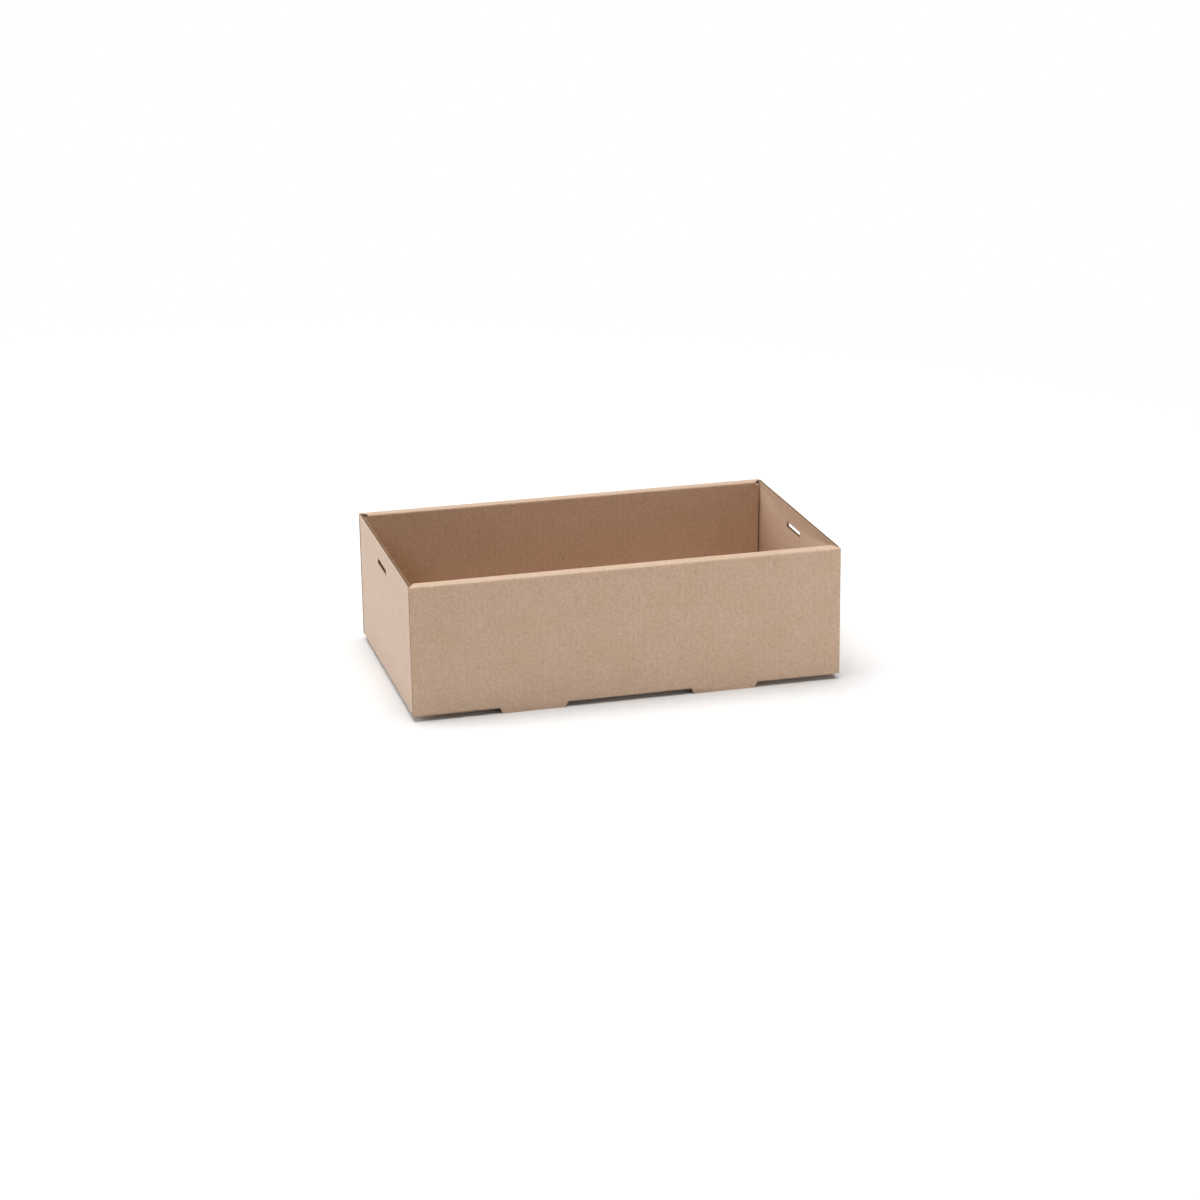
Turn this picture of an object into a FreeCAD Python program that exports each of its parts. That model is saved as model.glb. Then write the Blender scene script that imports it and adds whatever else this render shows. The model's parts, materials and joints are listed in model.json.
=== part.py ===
import FreeCAD, Part
import os
import Sketcher

# Folded catering tray box: one die-cut sheet of thin corrugated board.
# The base, four walls, rolled-over long sides, corner flaps, feet and
# locking tabs are all the same sheet, so they are all the same solid.
# Frame: X along the length, Y from the front to the back, Z up,
# zero at the middle of the feet's lower edges.

os.makedirs("parts", exist_ok=True)
doc = FreeCAD.newDocument("tray_box_source")
sheet = doc.addObject("Spreadsheet::Sheet", "sizes")

# Driving dimensions in millimetres, heights taken from the base's underside
DRIVING = {
    "box_length": 255.0,  # outside length, along X
    "box_width": 155.0,  # outside width, along Y
    "wall_height": 77.4,  # base underside to the outer crease of the rim
    "board_thickness": 1.5,  # thickness of the corrugated board
    "fold_outside_radius": 1.3,  # outside of a creased fold
    "fold_inside_radius": 0.3,  # inside of a creased fold
    "layer_gap": 0.15,  # air between two layers that lie together
    "rim_width": 7.4,  # outer face of a long wall to the rim's inner crease
    "rim_rise": 0.5,  # the inner crease stands this much above the outer one
    "rim_inset": 2.5,  # the inner panel stops this far from each end
    "rim_bevel": 4.6,  # slanting cut at the rim strip's ends, outer to inner crease
    "panel_float": 0.4,  # base top to the lower edge of the inner panel
    "cut_corner": 0.45,  # a free corner stops short of the crease line
    "foot_drop": 2.9,  # base underside to the foot's lower edge
    "foot_centre": 70.6,  # end of the box to the middle of a foot
    "foot_root_length": 39.6,  # foot length at the base
    "foot_tip_length": 36.8,  # foot length at its lower edge
    "kerf": 0.3,  # board lost on each side of the cut round a foot
    "tab_root_length": 35.4,  # locking tab length at the inner panel
    "tab_tip_length": 33.4,  # locking tab length at its lower edge
    "tab_reach": 0.6,  # how far the tab comes out under the base
    "flap_length": 46.0,  # corner flap, from the end of the box
    "flap_fall": 3.0,  # the flap's top edge drops this much along its length
    "flap_corner": 8.0,  # cut-off corner of the flap
    "flap_clear": 0.7,  # base top to the flap's lower edge
    "flap_headroom": 0.4,  # flap top to the underside of the rim
    "slot_length": 24.8,  # lid slot, along Y
    "slot_height": 3.2,  # lid slot, along Z
    "slot_centre_drop": 12.2,  # rim to the middle of the lid slot
    "slot_shift": 4.8,  # the lid slots sit this far behind the middle
    "nick_length": 2.4,  # torn nick in the front crease, along X
    "nick_height": 0.9,  # torn nick, up from the base underside
    "nick_distance": 2.0,  # foot root to the start of the nick
}


def size(name, content):
    """Write one named size on the next row of the sheet."""
    row = str(len(written) + 1)
    sheet.set("A" + row, name)
    sheet.set("B" + row, content)
    sheet.setAlias("B" + row, name)
    written.append(name)


TOUCHING = 0.01
written = []
for name, value in DRIVING.items():
    size(name, str(value))

# Places worked out from them, Z taken from the feet's lower edges
size("half_length", "=box_length / 2")  # end wall, outer face
size("end_inner", "=half_length - board_thickness")  # end wall, inner face
size("half_width", "=box_width / 2")  # long wall, outer face
size("wall_inner", "=half_width - board_thickness")  # long wall, inner face
size("base_under", "=foot_drop")  # base underside
size("base_top", "=base_under + board_thickness")  # base upper face
size("rim_outer", "=base_under + wall_height")  # outer crease of the rim, end wall top
size("rim_inner", "=rim_outer + rim_rise")  # inner crease of the rim
size("rim_slope", "=rim_rise / rim_width")  # rise of the rim strip per millimetre
# Rim strip underside at the long wall
size("strip_under", "=rim_outer - board_thickness + rim_slope * board_thickness")
size("rolled_end", "=half_length - rim_inset")  # end of the inner panel
size("rim_tip_inner", "=half_width - 3 * board_thickness")  # inner side of that tip
size("rim_tip_high", "=rim_outer + 3 * board_thickness * rim_slope")  # its upper corner
size("rim_tip_low", "=rim_tip_high - board_thickness")  # its lower corner
size("bevel_outer", "=half_width - cut_corner")  # the slanting cut starts here
size("bevel_inner", "=half_width - 2 * rim_width")  # the slanting cut runs on to here
# End of the slanting cut, twice as far in as the inner crease
size("bevel_back", "=half_length - 2 * rim_bevel")
# Depth of the slanting cut, just through the rim strip
size("bevel_depth", "=board_thickness + rim_rise + fold_inside_radius")
size("flap_outer", "=wall_inner - layer_gap")  # corner flap, outer face
size("flap_inner", "=flap_outer - board_thickness")  # corner flap, inner face
size("panel_foot_outer", "=flap_inner - layer_gap")  # inner panel at the base, hollow side
# Inner panel at the base, tray side
size("panel_foot_inner", "=panel_foot_outer - board_thickness")
size("panel_head_inner", "=half_width - rim_width")  # inner panel at the rim, tray side
size("panel_low", "=base_top + panel_float")  # lower edge of the inner panel
# Outward lean of the inner panel per millimetre down
size("panel_lean", "=(panel_foot_inner - panel_head_inner) / (rim_inner - panel_low)")
# Inner panel at the rim, hollow side
size("panel_head_outer", "=panel_head_inner + board_thickness * (1 + panel_lean)")
# Rim strip underside at the inner panel
size("hollow_top", "=rim_outer - board_thickness + rim_slope * (half_width - panel_head_outer)")
size("end_wall_half", "=flap_inner + cut_corner / 4")  # half width of the end wall
size("wall_end_low", "=base_under + cut_corner")  # free end of a long wall, lower corner
size("foot_middle", "=half_length - foot_centre")  # middle of a foot
size("foot_near", "=foot_middle - foot_root_length / 2")  # foot root, side of the middle
size("foot_far", "=foot_middle + foot_root_length / 2")  # foot root, side of the end
size("tip_near", "=foot_middle - foot_tip_length / 2")  # foot tip, side of the middle
size("tip_far", "=foot_middle + foot_tip_length / 2")  # foot tip, side of the end
size("foot_top", "=base_top + fold_inside_radius")  # where the foot runs into the wall
size("cut_near", "=foot_near - kerf")  # cut in the base at the crease
size("cut_far", "=foot_far + kerf")  # cut in the base at the crease
size("cut_tip_near", "=tip_near - kerf")  # cut in the base at its far edge
size("cut_tip_far", "=tip_far + kerf")  # cut in the base at its far edge
size("cut_edge", "=panel_foot_inner - layer_gap")  # far edge of the cut in the base
size("cut_depth", "=board_thickness + panel_float")  # height taken out for the cut
size("tab_low", "=base_under - tab_reach")  # lower edge of a locking tab
size("tab_high", "=panel_low + board_thickness")  # the tab runs into the panel here
# Tab at its lower edge, tray side
size("tab_low_inner", "=panel_foot_inner + panel_lean * (panel_low - tab_low)")
size("tab_low_outer", "=tab_low_inner + board_thickness")  # tab at its lower edge, hollow side
# Tab at its upper edge, tray side
size("tab_high_inner", "=panel_foot_inner - panel_lean * board_thickness")
size("tab_high_outer", "=tab_high_inner + board_thickness")  # tab at its upper edge, hollow side
size("tab_near", "=foot_middle - tab_root_length / 2")  # tab, side of the middle
size("tab_far", "=foot_middle + tab_root_length / 2")  # tab, side of the end
size("tab_corner", "=(tab_root_length - tab_tip_length) / 2")  # cut-off corner of a tab
size("flap_end", "=half_length - flap_length")  # free end of a flap
size("flap_bend", "=flap_end + flap_corner")  # where the flap's corners begin
size("flap_low", "=base_top + flap_clear")  # flap, lower edge
size("flap_high", "=rim_outer - board_thickness - flap_headroom")  # flap, upper edge
size("flap_high_bend", "=flap_high - flap_fall")  # flap, upper edge at its corner
size("flap_high_end", "=flap_high_bend - flap_corner")  # flap, upper end of the free edge
size("flap_low_bend", "=flap_low + flap_clear")  # flap, lower edge at its corner
size("flap_low_end", "=flap_low_bend + flap_corner")  # flap, lower end of the free edge
size("slot_middle_z", "=rim_outer - slot_centre_drop")  # middle of the lid slots
size("slot_low", "=slot_middle_z - slot_height / 2")  # lid slots, lower edge
size("slot_high", "=slot_middle_z + slot_height / 2")  # lid slots, upper edge
size("slot_front", "=slot_shift - slot_length / 2")  # lid slots, front end
size("slot_back", "=slot_shift + slot_length / 2")  # lid slots, back end
size("nick_near", "=foot_far + nick_distance")  # nick, side of the foot
size("nick_far", "=nick_near + nick_length")  # nick, side of the end
size("nick_top", "=base_under + nick_height")  # nick, upper edge
size("middle", "0")  # the plane through the middle
doc.recompute()

tray = doc.addObject("PartDesign::Body", "tray_box")
tray.Label = "tray_box"


def signed(name):
    """Formula and present value of a size; a leading minus turns it round."""
    if name.startswith("-"):
        return "-sizes." + name[1:], -float(sheet.get(name[1:]))
    return "sizes." + name, float(sheet.get(name))


def origin_plane(role):
    """One of the body's own three planes."""
    for feature in tray.Origin.OriginFeatures:
        if feature.Role == role:
            return feature
    raise RuntimeError("no plane " + role)


def outline(name, role, corners, distance=None):
    """Closed outline with straight sides whose corners follow the sheet."""
    sketch = tray.newObject("Sketcher::SketchObject", name)
    sketch.AttachmentSupport = (origin_plane(role), [""])
    sketch.MapMode = "FlatFace"
    if distance:
        sketch.setExpression("AttachmentOffset.Base.z", signed(distance)[0])
    places = [(signed(across), signed(up)) for across, up in corners]
    points = [FreeCAD.Vector(across[1], up[1], 0) for across, up in places]
    for index, point in enumerate(points):
        following = points[(index + 1) % len(points)]
        sketch.addGeometry(Part.LineSegment(point, following), False)
    for index, (across, up) in enumerate(places):
        following = (index + 1) % len(points)
        sketch.addConstraint(Sketcher.Constraint("Coincident", index, 2, following, 1))
        first = sketch.addConstraint(
            Sketcher.Constraint("DistanceX", -1, 1, index, 1, across[1]))
        second = sketch.addConstraint(
            Sketcher.Constraint("DistanceY", -1, 1, index, 1, up[1]))
        sketch.setExpression("Constraints[%d]" % first, across[0])
        sketch.setExpression("Constraints[%d]" % second, up[0])
    return sketch


def pad(name, sketch, length, backwards=False):
    """Solid of one size's length on an outline."""
    feature = tray.newObject("PartDesign::Pad", name)
    feature.Profile = sketch
    feature.setExpression("Length", "sizes." + length)
    feature.Reversed = backwards
    doc.recompute()
    return feature


def pocket(name, sketch, length, backwards=False):
    """Cut of one size's depth on an outline."""
    before = tray.Tip.Shape.Volume
    feature = tray.newObject("PartDesign::Pocket", name)
    feature.Profile = sketch
    feature.setExpression("Length", "sizes." + length)
    feature.Reversed = backwards
    doc.recompute()
    if not feature.Shape.Volume < before:
        raise RuntimeError(name + " cuts nothing")
    return feature


def edges_through(shape, direction, places):
    """Names of the edges along one axis that pass through the given places."""
    found = []
    for number, edge in enumerate(shape.Edges, 1):
        if len(edge.Vertexes) != 2:
            continue
        along = edge.Vertexes[1].Point - edge.Vertexes[0].Point
        if along.cross(direction).Length > TOUCHING or edge.Curve.TypeId != "Part::GeomLine":
            continue
        for place in places:
            offset = edge.Vertexes[0].Point - place
            if offset.cross(direction).Length < TOUCHING:
                found.append("Edge%d" % number)
    if len(found) != len(places):
        raise RuntimeError("edges found: " + str(found))
    return found


def rounded(name, direction, places, radius):
    """Creased folds of one radius along straight corners of the body."""
    base = tray.Tip
    feature = tray.newObject("PartDesign::Fillet", name)
    feature.Base = (base, edges_through(base.Shape, direction, places))
    feature.setExpression("Radius", "sizes." + radius)
    doc.recompute()
    return feature


def cut_off(name, direction, places, amount):
    """Slanting cuts of one size across straight corners of the body."""
    base = tray.Tip
    feature = tray.newObject("PartDesign::Chamfer", name)
    feature.Base = (base, edges_through(base.Shape, direction, places))
    feature.setExpression("Size", "sizes." + amount)
    doc.recompute()
    return feature


def at(x="middle", y="middle", z="middle"):
    """Point from three sizes."""
    return FreeCAD.Vector(signed(x)[1], signed(y)[1], signed(z)[1])


ALONG_X = FreeCAD.Vector(1, 0, 0)
ALONG_Y = FreeCAD.Vector(0, 1, 0)
ALONG_Z = FreeCAD.Vector(0, 0, 1)


def make_rolled_side():
    """Base, long wall, rim strip and inner panel: one strip folded three times."""
    section = outline("rolled_section", "YZ_Plane", [
        ("middle", "base_under"),
        ("-half_width", "base_under"),
        ("-half_width", "rim_outer"),
        ("-panel_head_inner", "rim_inner"),
        ("-panel_foot_inner", "panel_low"),
        ("-panel_foot_outer", "panel_low"),
        ("-panel_head_outer", "hollow_top"),
        ("-wall_inner", "strip_under"),
        ("-wall_inner", "base_top"),
        ("middle", "base_top")])
    pad("rolled_side", section, "rolled_end")


def make_rim_end():
    """Long wall and rim strip, where they run on past the inner panel."""
    section = outline("rim_end_section", "YZ_Plane", [
        ("-half_width", "wall_end_low"),
        ("-half_width", "rim_outer"),
        ("-rim_tip_inner", "rim_tip_high"),
        ("-rim_tip_inner", "rim_tip_low"),
        ("-wall_inner", "strip_under"),
        ("-wall_inner", "wall_end_low")], "rolled_end")
    pad("rim_end", section, "rim_inset")


def make_long_folds():
    """Creases along the tray, round outside and nearly sharp inside."""
    rounded("rolled_folds_outside", ALONG_X, [
        at(y="-half_width", z="base_under"),
        at(y="-half_width", z="rim_outer"),
        at(y="-panel_head_inner", z="rim_inner")], "fold_outside_radius")
    rounded("rolled_folds_inside", ALONG_X, [
        at(y="-wall_inner", z="base_top"),
        at(y="-wall_inner", z="strip_under"),
        at(y="-panel_head_outer", z="hollow_top")], "fold_inside_radius")


def make_bevel():
    """Slanting cut across the end of the rim strip."""
    cut = outline("bevel_outline", "XY_Plane", [
        ("half_length", "-bevel_outer"),
        ("half_length", "-bevel_inner"),
        ("bevel_back", "-bevel_inner")], "rim_inner")
    pocket("bevel", cut, "bevel_depth")


def make_end_wall():
    """Single end wall folded up from the base."""
    section = outline("end_section", "XZ_Plane", [
        ("middle", "base_under"),
        ("half_length", "base_under"),
        ("half_length", "rim_outer"),
        ("end_inner", "rim_outer"),
        ("end_inner", "base_top"),
        ("middle", "base_top")])
    pad("end_wall", section, "end_wall_half")
    rounded("end_fold_outside", ALONG_Y, [at(x="half_length", z="base_under")],
            "fold_outside_radius")
    rounded("end_fold_inside", ALONG_Y, [at(x="end_inner", z="base_top")],
            "fold_inside_radius")


def make_corner_flap():
    """Flap folded from the end wall and held inside the rolled-over side."""
    shape = outline("flap_outline", "XZ_Plane", [
        ("half_length", "flap_low"),
        ("half_length", "flap_high"),
        ("flap_bend", "flap_high_bend"),
        ("flap_end", "flap_high_end"),
        ("flap_end", "flap_low_end"),
        ("flap_bend", "flap_low_bend")], "flap_outer")
    pad("corner_flap", shape, "board_thickness", True)
    rounded("flap_fold_outside", ALONG_Z, [at(x="half_length", y="-flap_outer")],
            "fold_outside_radius")


def make_foot():
    """Tongue cut from the base that stays in the plane of the long wall."""
    gap = outline("foot_cut_outline", "XY_Plane", [
        ("cut_near", "-wall_inner"),
        ("cut_far", "-wall_inner"),
        ("cut_tip_far", "-cut_edge"),
        ("cut_tip_near", "-cut_edge")], "base_under")
    pocket("foot_cut", gap, "cut_depth", True)
    shape = outline("foot_outline", "XZ_Plane", [
        ("tip_near", "middle"),
        ("tip_far", "middle"),
        ("foot_far", "base_under"),
        ("foot_far", "foot_top"),
        ("foot_near", "foot_top"),
        ("foot_near", "base_under")], "half_width")
    pad("foot", shape, "board_thickness", True)


def make_locking_tab():
    """Tab of the inner panel that goes down through the cut behind the foot."""
    section = outline("tab_section", "YZ_Plane", [
        ("-tab_low_outer", "tab_low"),
        ("-tab_low_inner", "tab_low"),
        ("-tab_high_inner", "tab_high"),
        ("-tab_high_outer", "tab_high")], "tab_near")
    pad("locking_tab", section, "tab_root_length")
    cut_off("tab_corners", ALONG_Y, [
        at(x="tab_near", z="tab_low"),
        at(x="tab_far", z="tab_low")], "tab_corner")


def mirror_whole(name, role):
    """Second half of the tray on the other side of one of its planes."""
    feature = tray.newObject("PartDesign::Mirrored", name)
    feature.MirrorPlane = (origin_plane(role), [""])
    feature.TransformMode = "Whole shape"
    tray.Tip = feature
    doc.recompute()
    return feature


def make_lid_slots():
    """Slots in both end walls that take the lid's tongues."""
    shape = outline("slot_outline", "YZ_Plane", [
        ("slot_front", "slot_low"),
        ("slot_back", "slot_low"),
        ("slot_back", "slot_high"),
        ("slot_front", "slot_high")], "-half_length")
    pocket("lid_slots", shape, "box_length", True)


def make_nick():
    """Small tear in the front crease beside the right foot."""
    shape = outline("nick_outline", "XZ_Plane", [
        ("nick_near", "base_under"),
        ("nick_far", "base_under"),
        ("nick_far", "nick_top"),
        ("nick_near", "nick_top")], "half_width")
    pocket("nick", shape, "board_thickness")


make_rolled_side()
make_rim_end()
make_long_folds()
make_bevel()
make_end_wall()
make_corner_flap()
make_foot()
make_locking_tab()
mirror_whole("other_end", "YZ_Plane")
mirror_whole("other_side", "XZ_Plane")
make_lid_slots()
make_nick()
doc.recompute()

for thing in doc.Objects:
    if "Invalid" in thing.State or "Error" in thing.State:
        raise RuntimeError("not built: " + thing.Name)
if tray.Shape.isNull() or not tray.Shape.isValid() or len(tray.Shape.Solids) != 1:
    raise RuntimeError("the tray is not one sound solid")
tray.Shape.exportStep("parts/tray_box.step")
print("tray_box", tray.Shape.BoundBox, "volume", round(tray.Shape.Volume))
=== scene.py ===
# %% [markdown]
# # A folded catering tray box
#
# The object is an open tray of brown kraft board, 255 mm long, 155 mm wide and 81 mm high.
# It starts as one die-cut sheet of thin corrugated board, creased and folded up by hand.
# The long sides are rolled over: wall, narrow rim strip and inner panel are one piece of
# board. The short ends are a single layer, and each has a slot for a lid.
#
# The measured model of the tray is loaded as a fixed frame, and everything here is built
# round it, in metres, in the same place.

# %% The fixed frame
import json
import math
import bpy
from mathutils import Matrix, Vector

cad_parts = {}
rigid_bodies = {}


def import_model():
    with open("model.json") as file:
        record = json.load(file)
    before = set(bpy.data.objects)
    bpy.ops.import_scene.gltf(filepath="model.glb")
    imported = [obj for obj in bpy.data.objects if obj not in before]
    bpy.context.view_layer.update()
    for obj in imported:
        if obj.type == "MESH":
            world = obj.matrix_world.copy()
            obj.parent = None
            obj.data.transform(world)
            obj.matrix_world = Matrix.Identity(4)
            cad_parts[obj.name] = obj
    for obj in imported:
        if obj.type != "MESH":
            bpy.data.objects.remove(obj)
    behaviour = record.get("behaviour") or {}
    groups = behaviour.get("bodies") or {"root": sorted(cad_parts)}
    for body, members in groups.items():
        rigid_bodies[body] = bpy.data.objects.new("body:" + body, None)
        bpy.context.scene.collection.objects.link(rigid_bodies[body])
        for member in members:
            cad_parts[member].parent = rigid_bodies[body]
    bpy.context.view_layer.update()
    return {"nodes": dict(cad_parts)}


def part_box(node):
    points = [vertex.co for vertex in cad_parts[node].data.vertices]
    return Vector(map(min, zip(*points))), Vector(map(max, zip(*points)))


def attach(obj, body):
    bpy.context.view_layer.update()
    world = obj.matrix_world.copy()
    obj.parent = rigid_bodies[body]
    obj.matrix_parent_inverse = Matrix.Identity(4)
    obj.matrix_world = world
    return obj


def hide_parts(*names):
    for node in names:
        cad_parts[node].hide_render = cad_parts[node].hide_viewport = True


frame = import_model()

tray_low, tray_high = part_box("tray_box")

# %% [markdown]
# ## Sizes the scene works from
#
# The board is 1.5 mm thick: two paper liners with a fluted paper between them. The flute
# is the finest common one, with a wave about every 3.4 mm. These few sizes are the board's
# own, so every cut edge below can be worked out from them.

# %% Sizes of the board
MM = 0.001
BOARD = 1.5 * MM
LINER = 0.26 * MM
CORE = BOARD - 2 * LINER
FLUTE_PITCH = 3.4 * MM
FLUTE_PAPER = 0.16 * MM
GROOVE_DEPTH = 1.0 * MM
OVERCUT = 0.3 * MM
NEAR = 0.05 * MM

HALF_LENGTH = tray_high.x
HALF_WIDTH = tray_high.y
BASE_UNDER = 2.9 * MM
RIM_TOP = tray_high.z - 0.4 * MM
END_WALL_HALF = 74.2 * MM
FOOT_MIDDLE = 56.9 * MM
FOOT_TIP = 18.4 * MM
SLOT_FRONT = -7.6 * MM
SLOT_BACK = 17.2 * MM
SLOT_LOW = 66.5 * MM
SLOT_HIGH = 69.7 * MM
BEVEL_STEP_IN = 0.9 * MM
BEVEL_STEP_BACK = 1.9 * MM
BEVEL_RUN_IN = 4.3 * MM
BEVEL_RUN_BACK = 7.0 * MM
BEVEL_DROP_OUTSIDE = 0.62 * MM
BEVEL_DROP_INSIDE = 0.28 * MM
print("tray", round(HALF_LENGTH * 2, 4), round(HALF_WIDTH * 2, 4), round(tray_high.z, 4))

# %% [markdown]
# ## Small tools
#
# A few functions keep the later cells short. A colour is given as a hex value, and
# the shader wants linear light, so one function turns one into the other. Another adds a
# shader node with its settings and links in one go.


# %% Helpers
def linear(code):
    """Linear colour from an sRGB hex code such as c8a882."""
    values = [int(code[i:i + 2], 16) / 255 for i in (0, 2, 4)]
    return [v / 12.92 if v <= 0.04045 else ((v + 0.055) / 1.055) ** 2.4 for v in values] + [1.0]


def node(tree, kind, settings=None, **links):
    """Shader node with its settings; links are input name to a value or an output."""
    made = tree.nodes.new(kind)
    for name, value in (settings or {}).items():
        setattr(made, name, value)
    for name, value in links.items():
        numbered = name[1:].isdigit()
        socket = made.inputs[int(name[1:]) if numbered else name.replace("_", " ")]
        if isinstance(value, bpy.types.NodeSocket):
            tree.links.new(value, socket)
        else:
            socket.default_value = value
    return made


def ramp(tree, factor, stops):
    """Colour ramp with stops of place and colour."""
    made = node(tree, "ShaderNodeValToRGB", None, Fac=factor)
    ends = made.color_ramp.elements
    ends[0].position, ends[0].color = stops[0]
    ends[1].position, ends[1].color = stops[-1]
    for place, colour in stops[1:-1]:
        ends.new(place).color = colour
    return made


# %% [markdown]
# ## Kraft liner
#
# Kraft liner is unbleached pulp: a warm brown paper with a matte, slightly fibrous face.
# What the eye gets from it is this. Fibres a few tenths of a millimetre wide show as a fine
# grain, with patches of denser and thinner pulp about a millimetre across. A few darker
# flecks of bark are scattered in it. The tone drifts a little, between greyer and pinker
# brown, over one or two centimetres. At a flat angle the fuzz of fibres gives back a soft
# pale sheen, which is why the left end and the rim look lighter and less brown.
#
# Under the paper lies the flute. It pulls the liner down by a hundredth of a millimetre
# between its crests, so a very faint washboard runs up the long walls and across the base
# and the rim. The end walls are folded the other way, so there the same flutes lie level.


# %% Kraft liner material
def washboard(tree, place):
    """Height of the faint waves that the flute gives the liner, from 0 to 1."""
    parts = node(tree, "ShaderNodeSeparateXYZ", None, Vector=place)
    from_middle = node(tree, "ShaderNodeMath", {"operation": "ABSOLUTE"}, i0=parts.outputs["X"])
    on_end_wall = node(tree, "ShaderNodeMath", {"operation": "GREATER_THAN"},
                       i0=from_middle.outputs[0], i1=HALF_LENGTH - 1.1 * BOARD)
    across = node(tree, "ShaderNodeMix", {"data_type": "FLOAT"}, i0=on_end_wall.outputs[0],
                  i2=parts.outputs["X"], i3=parts.outputs["Z"])
    turns = node(tree, "ShaderNodeMath", {"operation": "MULTIPLY"},
                 i0=across.outputs[0], i1=2 * math.pi / FLUTE_PITCH)
    wave = node(tree, "ShaderNodeMath", {"operation": "SINE"}, i0=turns.outputs[0])
    half = node(tree, "ShaderNodeMath", {"operation": "MULTIPLY_ADD"},
                i0=wave.outputs[0], i1=0.5, i2=0.5)
    return half.outputs[0]


def tinted(tree, below, above, amount):
    """One colour multiplied by another by some amount."""
    made = node(tree, "ShaderNodeMix", {"data_type": "RGBA", "blend_type": "MULTIPLY"},
                i0=amount, i6=below, i7=above)
    return made.outputs[2]


def kraft_liner():
    """Brown unbleached paper face of the board."""
    made = bpy.data.materials.new("kraft_liner")
    made.use_nodes = True
    tree = made.node_tree
    surface = tree.nodes["Principled BSDF"]
    place = node(tree, "ShaderNodeTexCoord").outputs["Object"]
    fibres = node(tree, "ShaderNodeTexNoise", None, Vector=place, Scale=1300.0,
                  Detail=3.0, Roughness=0.7).outputs["Fac"]
    pulp = node(tree, "ShaderNodeTexNoise", None, Vector=place, Scale=520.0,
                Detail=2.0, Roughness=0.6).outputs["Fac"]
    drift = node(tree, "ShaderNodeTexNoise", None, Vector=place, Scale=70.0,
                 Detail=3.0, Roughness=0.6).outputs["Fac"]
    specks = node(tree, "ShaderNodeTexNoise", None, Vector=place, Scale=720.0,
                  Detail=1.0).outputs["Fac"]
    ribs = washboard(tree, place)
    brown = ramp(tree, drift, [(0.34, linear("cfb296")), (0.50, linear("d1b399")),
                               (0.66, linear("d3b59d"))]).outputs["Color"]
    dense = ramp(tree, pulp, [(0.30, linear("e8e5e2")), (0.62, linear("ffffff"))]).outputs["Color"]
    grain = ramp(tree, fibres, [(0.32, linear("dcd8d3")), (0.60, linear("ffffff"))]).outputs["Color"]
    # Painted shade: the troughs of the washboard are a hair darker.
    trough_shade = ramp(tree, ribs, [(0.0, linear("fdfcfc")), (1.0, linear("ffffff"))]).outputs["Color"]
    colour = tinted(tree, brown, dense, 0.55)
    colour = tinted(tree, colour, grain, 0.6)
    colour = tinted(tree, colour, trough_shade, 1.0)
    spots = ramp(tree, specks, [(0.735, (0, 0, 0, 1)), (0.79, (1, 1, 1, 1))]).outputs["Color"]
    flecked = node(tree, "ShaderNodeMix", {"data_type": "RGBA"}, i0=spots, i6=colour,
                   i7=linear("997c62"))
    tree.links.new(flecked.outputs[2], surface.inputs["Base Color"])
    relief = node(tree, "ShaderNodeMath", {"operation": "ADD"}, i0=fibres, i1=pulp).outputs[0]
    ribbed = node(tree, "ShaderNodeBump", None, Height=ribs, Strength=1.0, Distance=0.006 * MM)
    bump = node(tree, "ShaderNodeBump", None, Height=relief, Strength=0.5, Distance=0.05 * MM,
                Normal=ribbed.outputs[0])
    tree.links.new(bump.outputs[0], surface.inputs["Normal"])
    surface.inputs["Roughness"].default_value = 0.68
    surface.inputs["Specular IOR Level"].default_value = 0.5
    surface.inputs["Sheen Weight"].default_value = 0.22
    surface.inputs["Sheen Roughness"].default_value = 0.45
    return made


# %% [markdown]
# ## Cut edge
#
# A die cuts straight through the sheet, so its edges have no smooth paper face. They are
# rougher and a little darker than the liner, and the fluted paper inside them is shaded.


# %% Cut edge material
def cut_edge(name, low, high):
    """Raw edge of the board, where the die went through, between two tones."""
    made = bpy.data.materials.new(name)
    made.use_nodes = True
    tree = made.node_tree
    surface = tree.nodes["Principled BSDF"]
    place = node(tree, "ShaderNodeTexCoord").outputs["Object"]
    fuzz = node(tree, "ShaderNodeTexNoise", None, Vector=place, Scale=1900.0,
                Detail=3.0).outputs["Fac"]
    colour = ramp(tree, fuzz, [(0.3, linear(low)), (0.7, linear(high))]).outputs["Color"]
    tree.links.new(colour, surface.inputs["Base Color"])
    bump = node(tree, "ShaderNodeBump", None, Height=fuzz, Strength=0.6, Distance=0.1 * MM)
    tree.links.new(bump.outputs[0], surface.inputs["Normal"])
    surface.inputs["Roughness"].default_value = 0.92
    surface.inputs["Specular IOR Level"].default_value = 0.15
    return made


LINER_PAPER = kraft_liner()
RAW_EDGE = cut_edge("raw_edge", "ab8d71", "c4a588")
# The core paper is the fluted paper's brown darkened by painted shade of the hollow between the liners.
SHADED_CORE_PAPER = cut_edge("shaded_core_paper", "7d6048", "9a7c60")
print("materials", [m.name for m in bpy.data.materials])

# %% [markdown]
# ## The folded sheet
#
# The tray itself is a copy of the measured model, joined up into one clean skin so that
# it can be worked on. The measured model is left alone and only its copy is shown.


# %% The folded sheet
def only(thing):
    """Make one object the selected and active one."""
    bpy.ops.object.select_all(action="DESELECT")
    thing.select_set(True)
    bpy.context.view_layer.objects.active = thing


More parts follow.
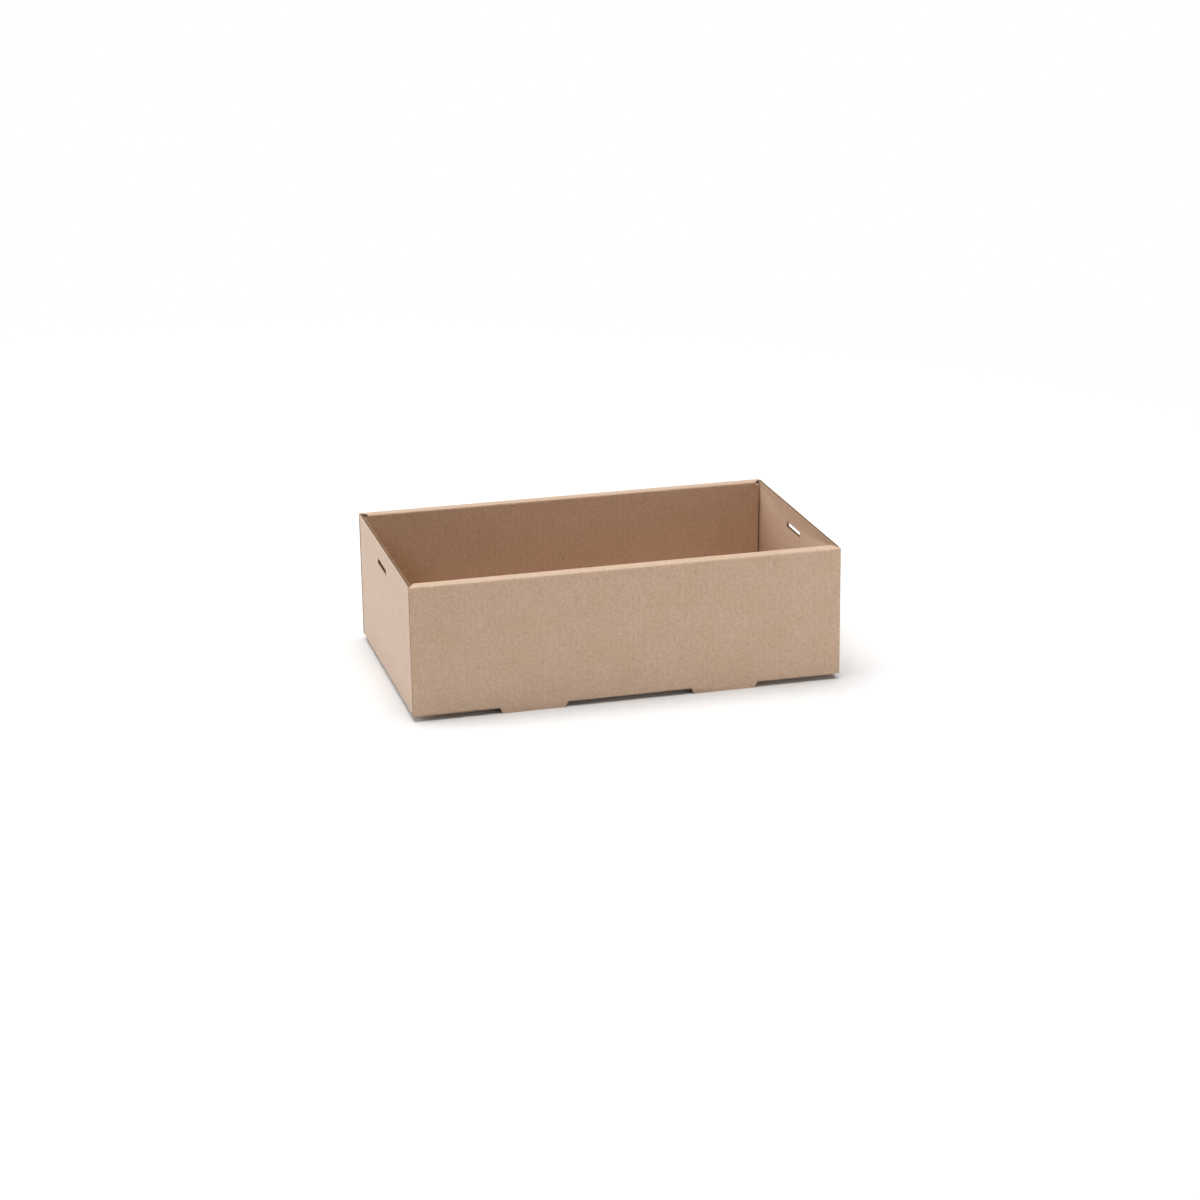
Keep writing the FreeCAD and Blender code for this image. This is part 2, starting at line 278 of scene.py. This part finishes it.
def copy_of_tray():
    """Merged copy of the measured tray, at the origin."""
    only(frame["nodes"]["tray_box"])
    bpy.ops.object.duplicate()
    sheet = bpy.context.object
    bpy.ops.object.parent_clear(type="CLEAR_KEEP_TRANSFORM")
    bpy.ops.object.transform_apply(location=True, rotation=True, scale=True)
    sheet.name = "folded_sheet"
    sheet.data.name = "folded_sheet"
    bpy.ops.object.mode_set(mode="EDIT")
    bpy.ops.mesh.select_all(action="SELECT")
    bpy.ops.mesh.remove_doubles(threshold=0.000005)
    bpy.ops.mesh.normals_make_consistent(inside=False)
    bpy.ops.object.mode_set(mode="OBJECT")
    sheet.data.materials.clear()
    sheet.data.materials.append(LINER_PAPER)
    return sheet


folded_sheet = copy_of_tray()
print("sheet", len(folded_sheet.data.vertices), "points", len(folded_sheet.data.polygons), "faces")

# %% [markdown]
# ## Open edges
#
# Where the die has cut the board, the edge is a sandwich: two liners about a quarter of a
# millimetre thick, and between them a hollow with the fluted paper in it. It reads as a thin
# dark line between two pale ones, along the tops of the end walls, up the ends of the long
# walls, round the lid slots, on the slanting ends of the rim and under the feet.
#
# Each open edge is a groove cut between the liners. A groove is a box laid along the edge:
# one function turns a start, an end and the direction into the board into that box. The
# cutters are joined and taken away in one boolean. Then the rims of the liners, where the
# die went through, get the raw edge in place of the paper face. In the small slots the whole
# cut face takes the core's dark tones as painted shade.


# %% Grooves between the liners
class Edge:
    """A straight cut edge: its middle line, the way across it and the way into the board."""

    def __init__(self, start, end, across, into, crosses_flutes=False):
        self.start = Vector(start)
        self.end = Vector(end)
        self.across = Vector(across).normalized()
        self.into = Vector(into).normalized()
        self.crosses_flutes = crosses_flutes

    def length(self):
        return (self.end - self.start).length

    def along(self):
        return (self.end - self.start).normalized()


def end_edges(side):
    """Cut edges of one end: side is 1 on the right and -1 on the left."""
    middle = side * (HALF_LENGTH - BOARD / 2)
    outside = side * HALF_LENGTH
    front_low = (middle, SLOT_FRONT, SLOT_LOW)
    front_high = (middle, SLOT_FRONT, SLOT_HIGH)
    back_low = (middle, SLOT_BACK, SLOT_LOW)
    back_high = (middle, SLOT_BACK, SLOT_HIGH)
    top_front = (middle, -END_WALL_HALF, RIM_TOP)
    top_back = (middle, END_WALL_HALF, RIM_TOP)
    found = [Edge(top_front, top_back, (1, 0, 0), (0, 0, -1)),
             Edge(front_low, back_low, (1, 0, 0), (0, 0, -1)),
             Edge(front_high, back_high, (1, 0, 0), (0, 0, 1)),
             Edge(front_low, front_high, (1, 0, 0), (0, -1, 0), True),
             Edge(back_low, back_high, (1, 0, 0), (0, 1, 0), True)]
    for face in (-1, 1):
        wall = face * (HALF_WIDTH - BOARD / 2)
        foot = (outside, wall, BASE_UNDER + BOARD)
        head = (outside, wall, RIM_TOP - 2 * BOARD)
        found.append(Edge(foot, head, (0, 1, 0), (-side, 0, 0)))
        bevel_outside = (outside - side * BEVEL_STEP_IN, face * (HALF_WIDTH - BEVEL_STEP_BACK),
                         RIM_TOP - BEVEL_DROP_OUTSIDE)
        bevel_inside = (outside - side * BEVEL_RUN_IN, face * (HALF_WIDTH - BEVEL_RUN_BACK),
                        RIM_TOP - BEVEL_DROP_INSIDE)
        into_rim = (-side * (BEVEL_RUN_BACK - BEVEL_STEP_BACK), face * (BEVEL_RUN_IN - BEVEL_STEP_IN), 0)
        found.append(Edge(bevel_outside, bevel_inside, (0, 0, 1), into_rim))
    return found


def foot_edges():
    """Lower edges of the four feet, which cross the flutes."""
    found = []
    for side in (-1, 1):
        for face in (-1, 1):
            wall = face * (HALF_WIDTH - BOARD / 2)
            left = (side * FOOT_MIDDLE - FOOT_TIP, wall, 0)
            right = (side * FOOT_MIDDLE + FOOT_TIP, wall, 0)
            found.append(Edge(left, right, (0, 1, 0), (0, 0, 1), True))
    return found


def groove_cutter(edge):
    """Box that takes the core out of one cut edge."""
    bpy.ops.mesh.primitive_cube_add(size=1.0)
    cutter = bpy.context.object
    high = GROOVE_DEPTH + OVERCUT
    middle = (edge.start + edge.end) / 2 + edge.into * (high / 2 - OVERCUT)
    axes = Matrix((edge.along() * edge.length(), edge.across * CORE, edge.into * high)).transposed()
    cutter.data.transform(Matrix.Translation(middle) @ axes.to_4x4())
    # The groove walls take the core paper, whose dark tones are partly painted shade.
    cutter.data.materials.append(SHADED_CORE_PAPER)
    return cutter


def join(name, things):
    """Join several objects into one of that name."""
    bpy.ops.object.select_all(action="DESELECT")
    for thing in things:
        thing.select_set(True)
    bpy.context.view_layer.objects.active = things[0]
    bpy.ops.object.join()
    things[0].name = name
    return things[0]


def open_edges(sheet, edges):
    """Cut the grooves of all the edges into the sheet."""
    cutter = join("groove_cutter", [groove_cutter(edge) for edge in edges])
    only(cutter)
    bpy.ops.object.mode_set(mode="EDIT")
    bpy.ops.mesh.select_all(action="SELECT")
    bpy.ops.mesh.normals_make_consistent(inside=False)
    bpy.ops.object.mode_set(mode="OBJECT")
    only(sheet)
    cut = sheet.modifiers.new("grooves", "BOOLEAN")
    cut.operation = "DIFFERENCE"
    cut.solver = "EXACT"
    cut.material_mode = "TRANSFER"
    cut.object = cutter
    bpy.ops.object.modifier_apply(modifier="grooves")
    bpy.data.objects.remove(cutter)


def in_slot(face):
    """Whether a face is one of the cut faces of a lid slot."""
    deep = abs(face.center.x) > HALF_LENGTH - BOARD - NEAR
    along = SLOT_FRONT - NEAR < face.center.y < SLOT_BACK + NEAR
    upright = SLOT_LOW - NEAR < face.center.z < SLOT_HIGH + NEAR
    return deep and along and upright and abs(face.normal.x) < 0.5


def on_cut(face):
    """Whether a face is on a cut rim: an end wall's top, a long wall's end or a foot's tip."""
    place = face.center
    at_end = abs(place.x) > HALF_LENGTH - BOARD - NEAR
    at_side = abs(place.y) > HALF_WIDTH - BOARD - NEAR
    wall_top = at_end and face.normal.z > 0.9 and abs(place.z - RIM_TOP) < NEAR
    wall_end = at_end and at_side and abs(face.normal.x) > 0.9
    foot_tip = at_side and face.normal.z < -0.9 and place.z < NEAR
    return (wall_top and abs(place.y) < END_WALL_HALF) or wall_end or foot_tip


def bare_cuts(sheet):
    """Give the cut faces the look of torn paper in place of the smooth liner; the slot faces get painted
    shade.
    """
    names = [slot.name for slot in sheet.data.materials]
    if RAW_EDGE.name not in names:
        sheet.data.materials.append(RAW_EDGE)
    names = [slot.name for slot in sheet.data.materials]
    counted = 0
    for face in sheet.data.polygons:
        if in_slot(face):
            # Painted shade: the slot's cut faces take the core's dark tones.
            face.material_index = names.index(SHADED_CORE_PAPER.name)
        elif on_cut(face):
            face.material_index = names.index(RAW_EDGE.name)
            counted += 1
    return counted


cut_edges = end_edges(-1) + end_edges(1) + foot_edges()
open_edges(folded_sheet, cut_edges)
print("raw edge faces", bare_cuts(folded_sheet))
only(folded_sheet)
bpy.ops.object.shade_smooth_by_angle(angle=math.radians(32))
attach(folded_sheet, "root")
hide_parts("tray_box")
print("open edges", len(cut_edges), "faces", len(folded_sheet.data.polygons))

# %% [markdown]
# ## Fluted paper
#
# The middle paper is a single sheet pressed into waves and glued to both liners. An edge
# cut across the flutes shows the waves end on. An edge cut along them shows the same paper
# as one strand that wanders between the liners, a little crushed by the die. Either way it
# is a ribbon that follows a wave along the groove, so one function makes both.


# %% Fluted paper in the grooves
LONG_STEP = 3 * MM
SLOW_WANDER = 9 * MM
QUICK_WANDER = 3.7 * MM
RIBBON_SUNK = 0.15 * MM


def flute_ribbon(edge):
    """Fluted paper seen in one groove."""
    swing = (CORE - FLUTE_PAPER) / 2
    phase = edge.start.y / MM
    step = FLUTE_PITCH / 14 if edge.crosses_flutes else LONG_STEP
    count = max(2, round(edge.length() / step))
    bpy.ops.mesh.primitive_grid_add(x_subdivisions=count, y_subdivisions=1, size=1.0)
    ribbon = bpy.context.object
    for point in ribbon.data.vertices:
        gone = (point.co.x + 0.5) * edge.length()
        if edge.crosses_flutes:
            shift = swing * math.sin(2 * math.pi * gone / FLUTE_PITCH)
        else:
            wander = 0.5 * math.sin(gone / SLOW_WANDER) + 0.4 * math.sin(gone / QUICK_WANDER + phase)
            shift = swing * wander
        deep = RIBBON_SUNK + (0.5 - point.co.y) * GROOVE_DEPTH * 0.8
        point.co = edge.start + edge.along() * gone + edge.across * shift + edge.into * deep
    solid = ribbon.modifiers.new("paper", "SOLIDIFY")
    solid.thickness = FLUTE_PAPER
    solid.offset = 0.0
    only(ribbon)
    bpy.ops.object.modifier_apply(modifier="paper")
    return ribbon


fluted_paper = join("fluted_paper", [flute_ribbon(edge) for edge in cut_edges])
# The ribbon's dark tone is partly painted shade of the hollow.
fluted_paper.data.materials.append(SHADED_CORE_PAPER)
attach(fluted_paper, "root")
print("fluted paper", len(fluted_paper.data.polygons), "faces")

# %% [markdown]
# ## Camera
#
# The lens and place come from the box's own straight edges: their vanishing directions fix
# the angles, and the known length fixes the distance. It is a long lens, about 1.7 m away,
# looking down by 18 degrees and turned 15 degrees past the front.


# %% Camera
def set_camera():
    """Camera at the place the tray's edges give."""
    data = bpy.data.cameras.new("camera")
    data.sensor_width = 36.0
    data.lens = 87.08
    camera = bpy.data.objects.new("camera", data)
    bpy.context.scene.collection.objects.link(camera)
    yaw = math.radians(14.62)
    pitch = math.radians(18.21)
    roll = math.radians(-0.77)
    forward = Vector((math.sin(yaw) * math.cos(pitch), math.cos(yaw) * math.cos(pitch), -math.sin(pitch)))
    level = Vector((math.cos(yaw), -math.sin(yaw), 0.0))
    upward = level.cross(forward)
    right = level * math.cos(roll) + upward * math.sin(roll)
    up = upward * math.cos(roll) - level * math.sin(roll)
    turn = Matrix((right, up, -forward)).transposed().to_4x4()
    camera.matrix_world = Matrix.Translation((-0.41355, -1.59684, 0.57922)) @ turn
    bpy.context.scene.camera = camera
    return camera


camera = set_camera()
print("camera", [round(v, 4) for v in camera.location])

# %% [markdown]
# ## Floor and light
#
# The tray stands on a plain white floor under soft studio light. A broad light overhead
# gives the rim its brightness, a second light from the left lights the left end, and a
# small low card at the front right and the dim white room fill the front.


# %% Floor and light
def white_floor():
    """White paint near the tray, where its shadow falls, fading to plain white far away."""
    made = bpy.data.materials.new("white_floor")
    made.use_nodes = True
    tree = made.node_tree
    surface = tree.nodes["Principled BSDF"]
    surface.inputs["Base Color"].default_value = (0.84, 0.84, 0.84, 1.0)
    surface.inputs["Roughness"].default_value = 0.9
    surface.inputs["Specular IOR Level"].default_value = 0.1
    place = node(tree, "ShaderNodeTexCoord").outputs["Object"]
    gone = node(tree, "ShaderNodeVectorMath", {"operation": "LENGTH"}, i0=place).outputs["Value"]
    far = node(tree, "ShaderNodeMapRange", {"interpolation_type": "SMOOTHSTEP"},
               Value=gone, From_Min=0.35, From_Max=1.1).outputs[0]
    seen = node(tree, "ShaderNodeLightPath").outputs["Is Camera Ray"]
    plain = node(tree, "ShaderNodeMath", {"operation": "MULTIPLY"}, i0=far, i1=seen).outputs[0]
    white = node(tree, "ShaderNodeEmission", None, Color=(1, 1, 1, 1), Strength=1.0).outputs[0]
    mixed = node(tree, "ShaderNodeMixShader", None, Fac=plain, i1=surface.outputs[0], i2=white)
    tree.links.new(mixed.outputs[0], tree.nodes["Material Output"].inputs["Surface"])
    return made


def set_floor():
    """Plain white floor that keeps the tray's soft shadow."""
    bpy.ops.mesh.primitive_plane_add(size=24.0, location=(0, 0, 0))
    floor = bpy.context.object
    floor.name = "floor"
    floor.data.materials.append(white_floor())
    return floor


def soft_light(name, place, aim, width, power):
    """Square area light turned to a point."""
    data = bpy.data.lights.new(name, "AREA")
    data.size = width
    data.energy = power
    lamp = bpy.data.objects.new(name, data)
    bpy.context.scene.collection.objects.link(lamp)
    lamp.location = place
    lamp.rotation_euler = (Vector(aim) - Vector(place)).to_track_quat("-Z", "Y").to_euler()
    return lamp


def set_room(level):
    """White room, seen by the camera as plain white."""
    world = bpy.data.worlds.new("room")
    bpy.context.scene.world = world
    world.use_nodes = True
    tree = world.node_tree
    tree.nodes.clear()
    path = node(tree, "ShaderNodeLightPath")
    fill = node(tree, "ShaderNodeBackground", None, Color=(1, 1, 1, 1), Strength=level)
    backdrop = node(tree, "ShaderNodeBackground", None, Color=(1, 1, 1, 1), Strength=1.0)
    mixed = node(tree, "ShaderNodeMixShader", None, Fac=path.outputs["Is Camera Ray"],
                 i1=fill.outputs[0], i2=backdrop.outputs[0])
    node(tree, "ShaderNodeOutputWorld", None, Surface=mixed.outputs[0])


set_floor()
set_room(0.12)
soft_light("top_light", (-0.1, 0.08, 2.8), (0, 0, 0), 2.6, 111.0)
soft_light("left_light", (-1.8, 0.6, 0.9), (0, 0, 0.04), 1.1, 13.0)
soft_light("right_card", (0.4, -0.6, 0.03), (0.1, -0.08, 0.0), 0.35, 1.3)
bpy.context.scene.view_settings.view_transform = "Standard"
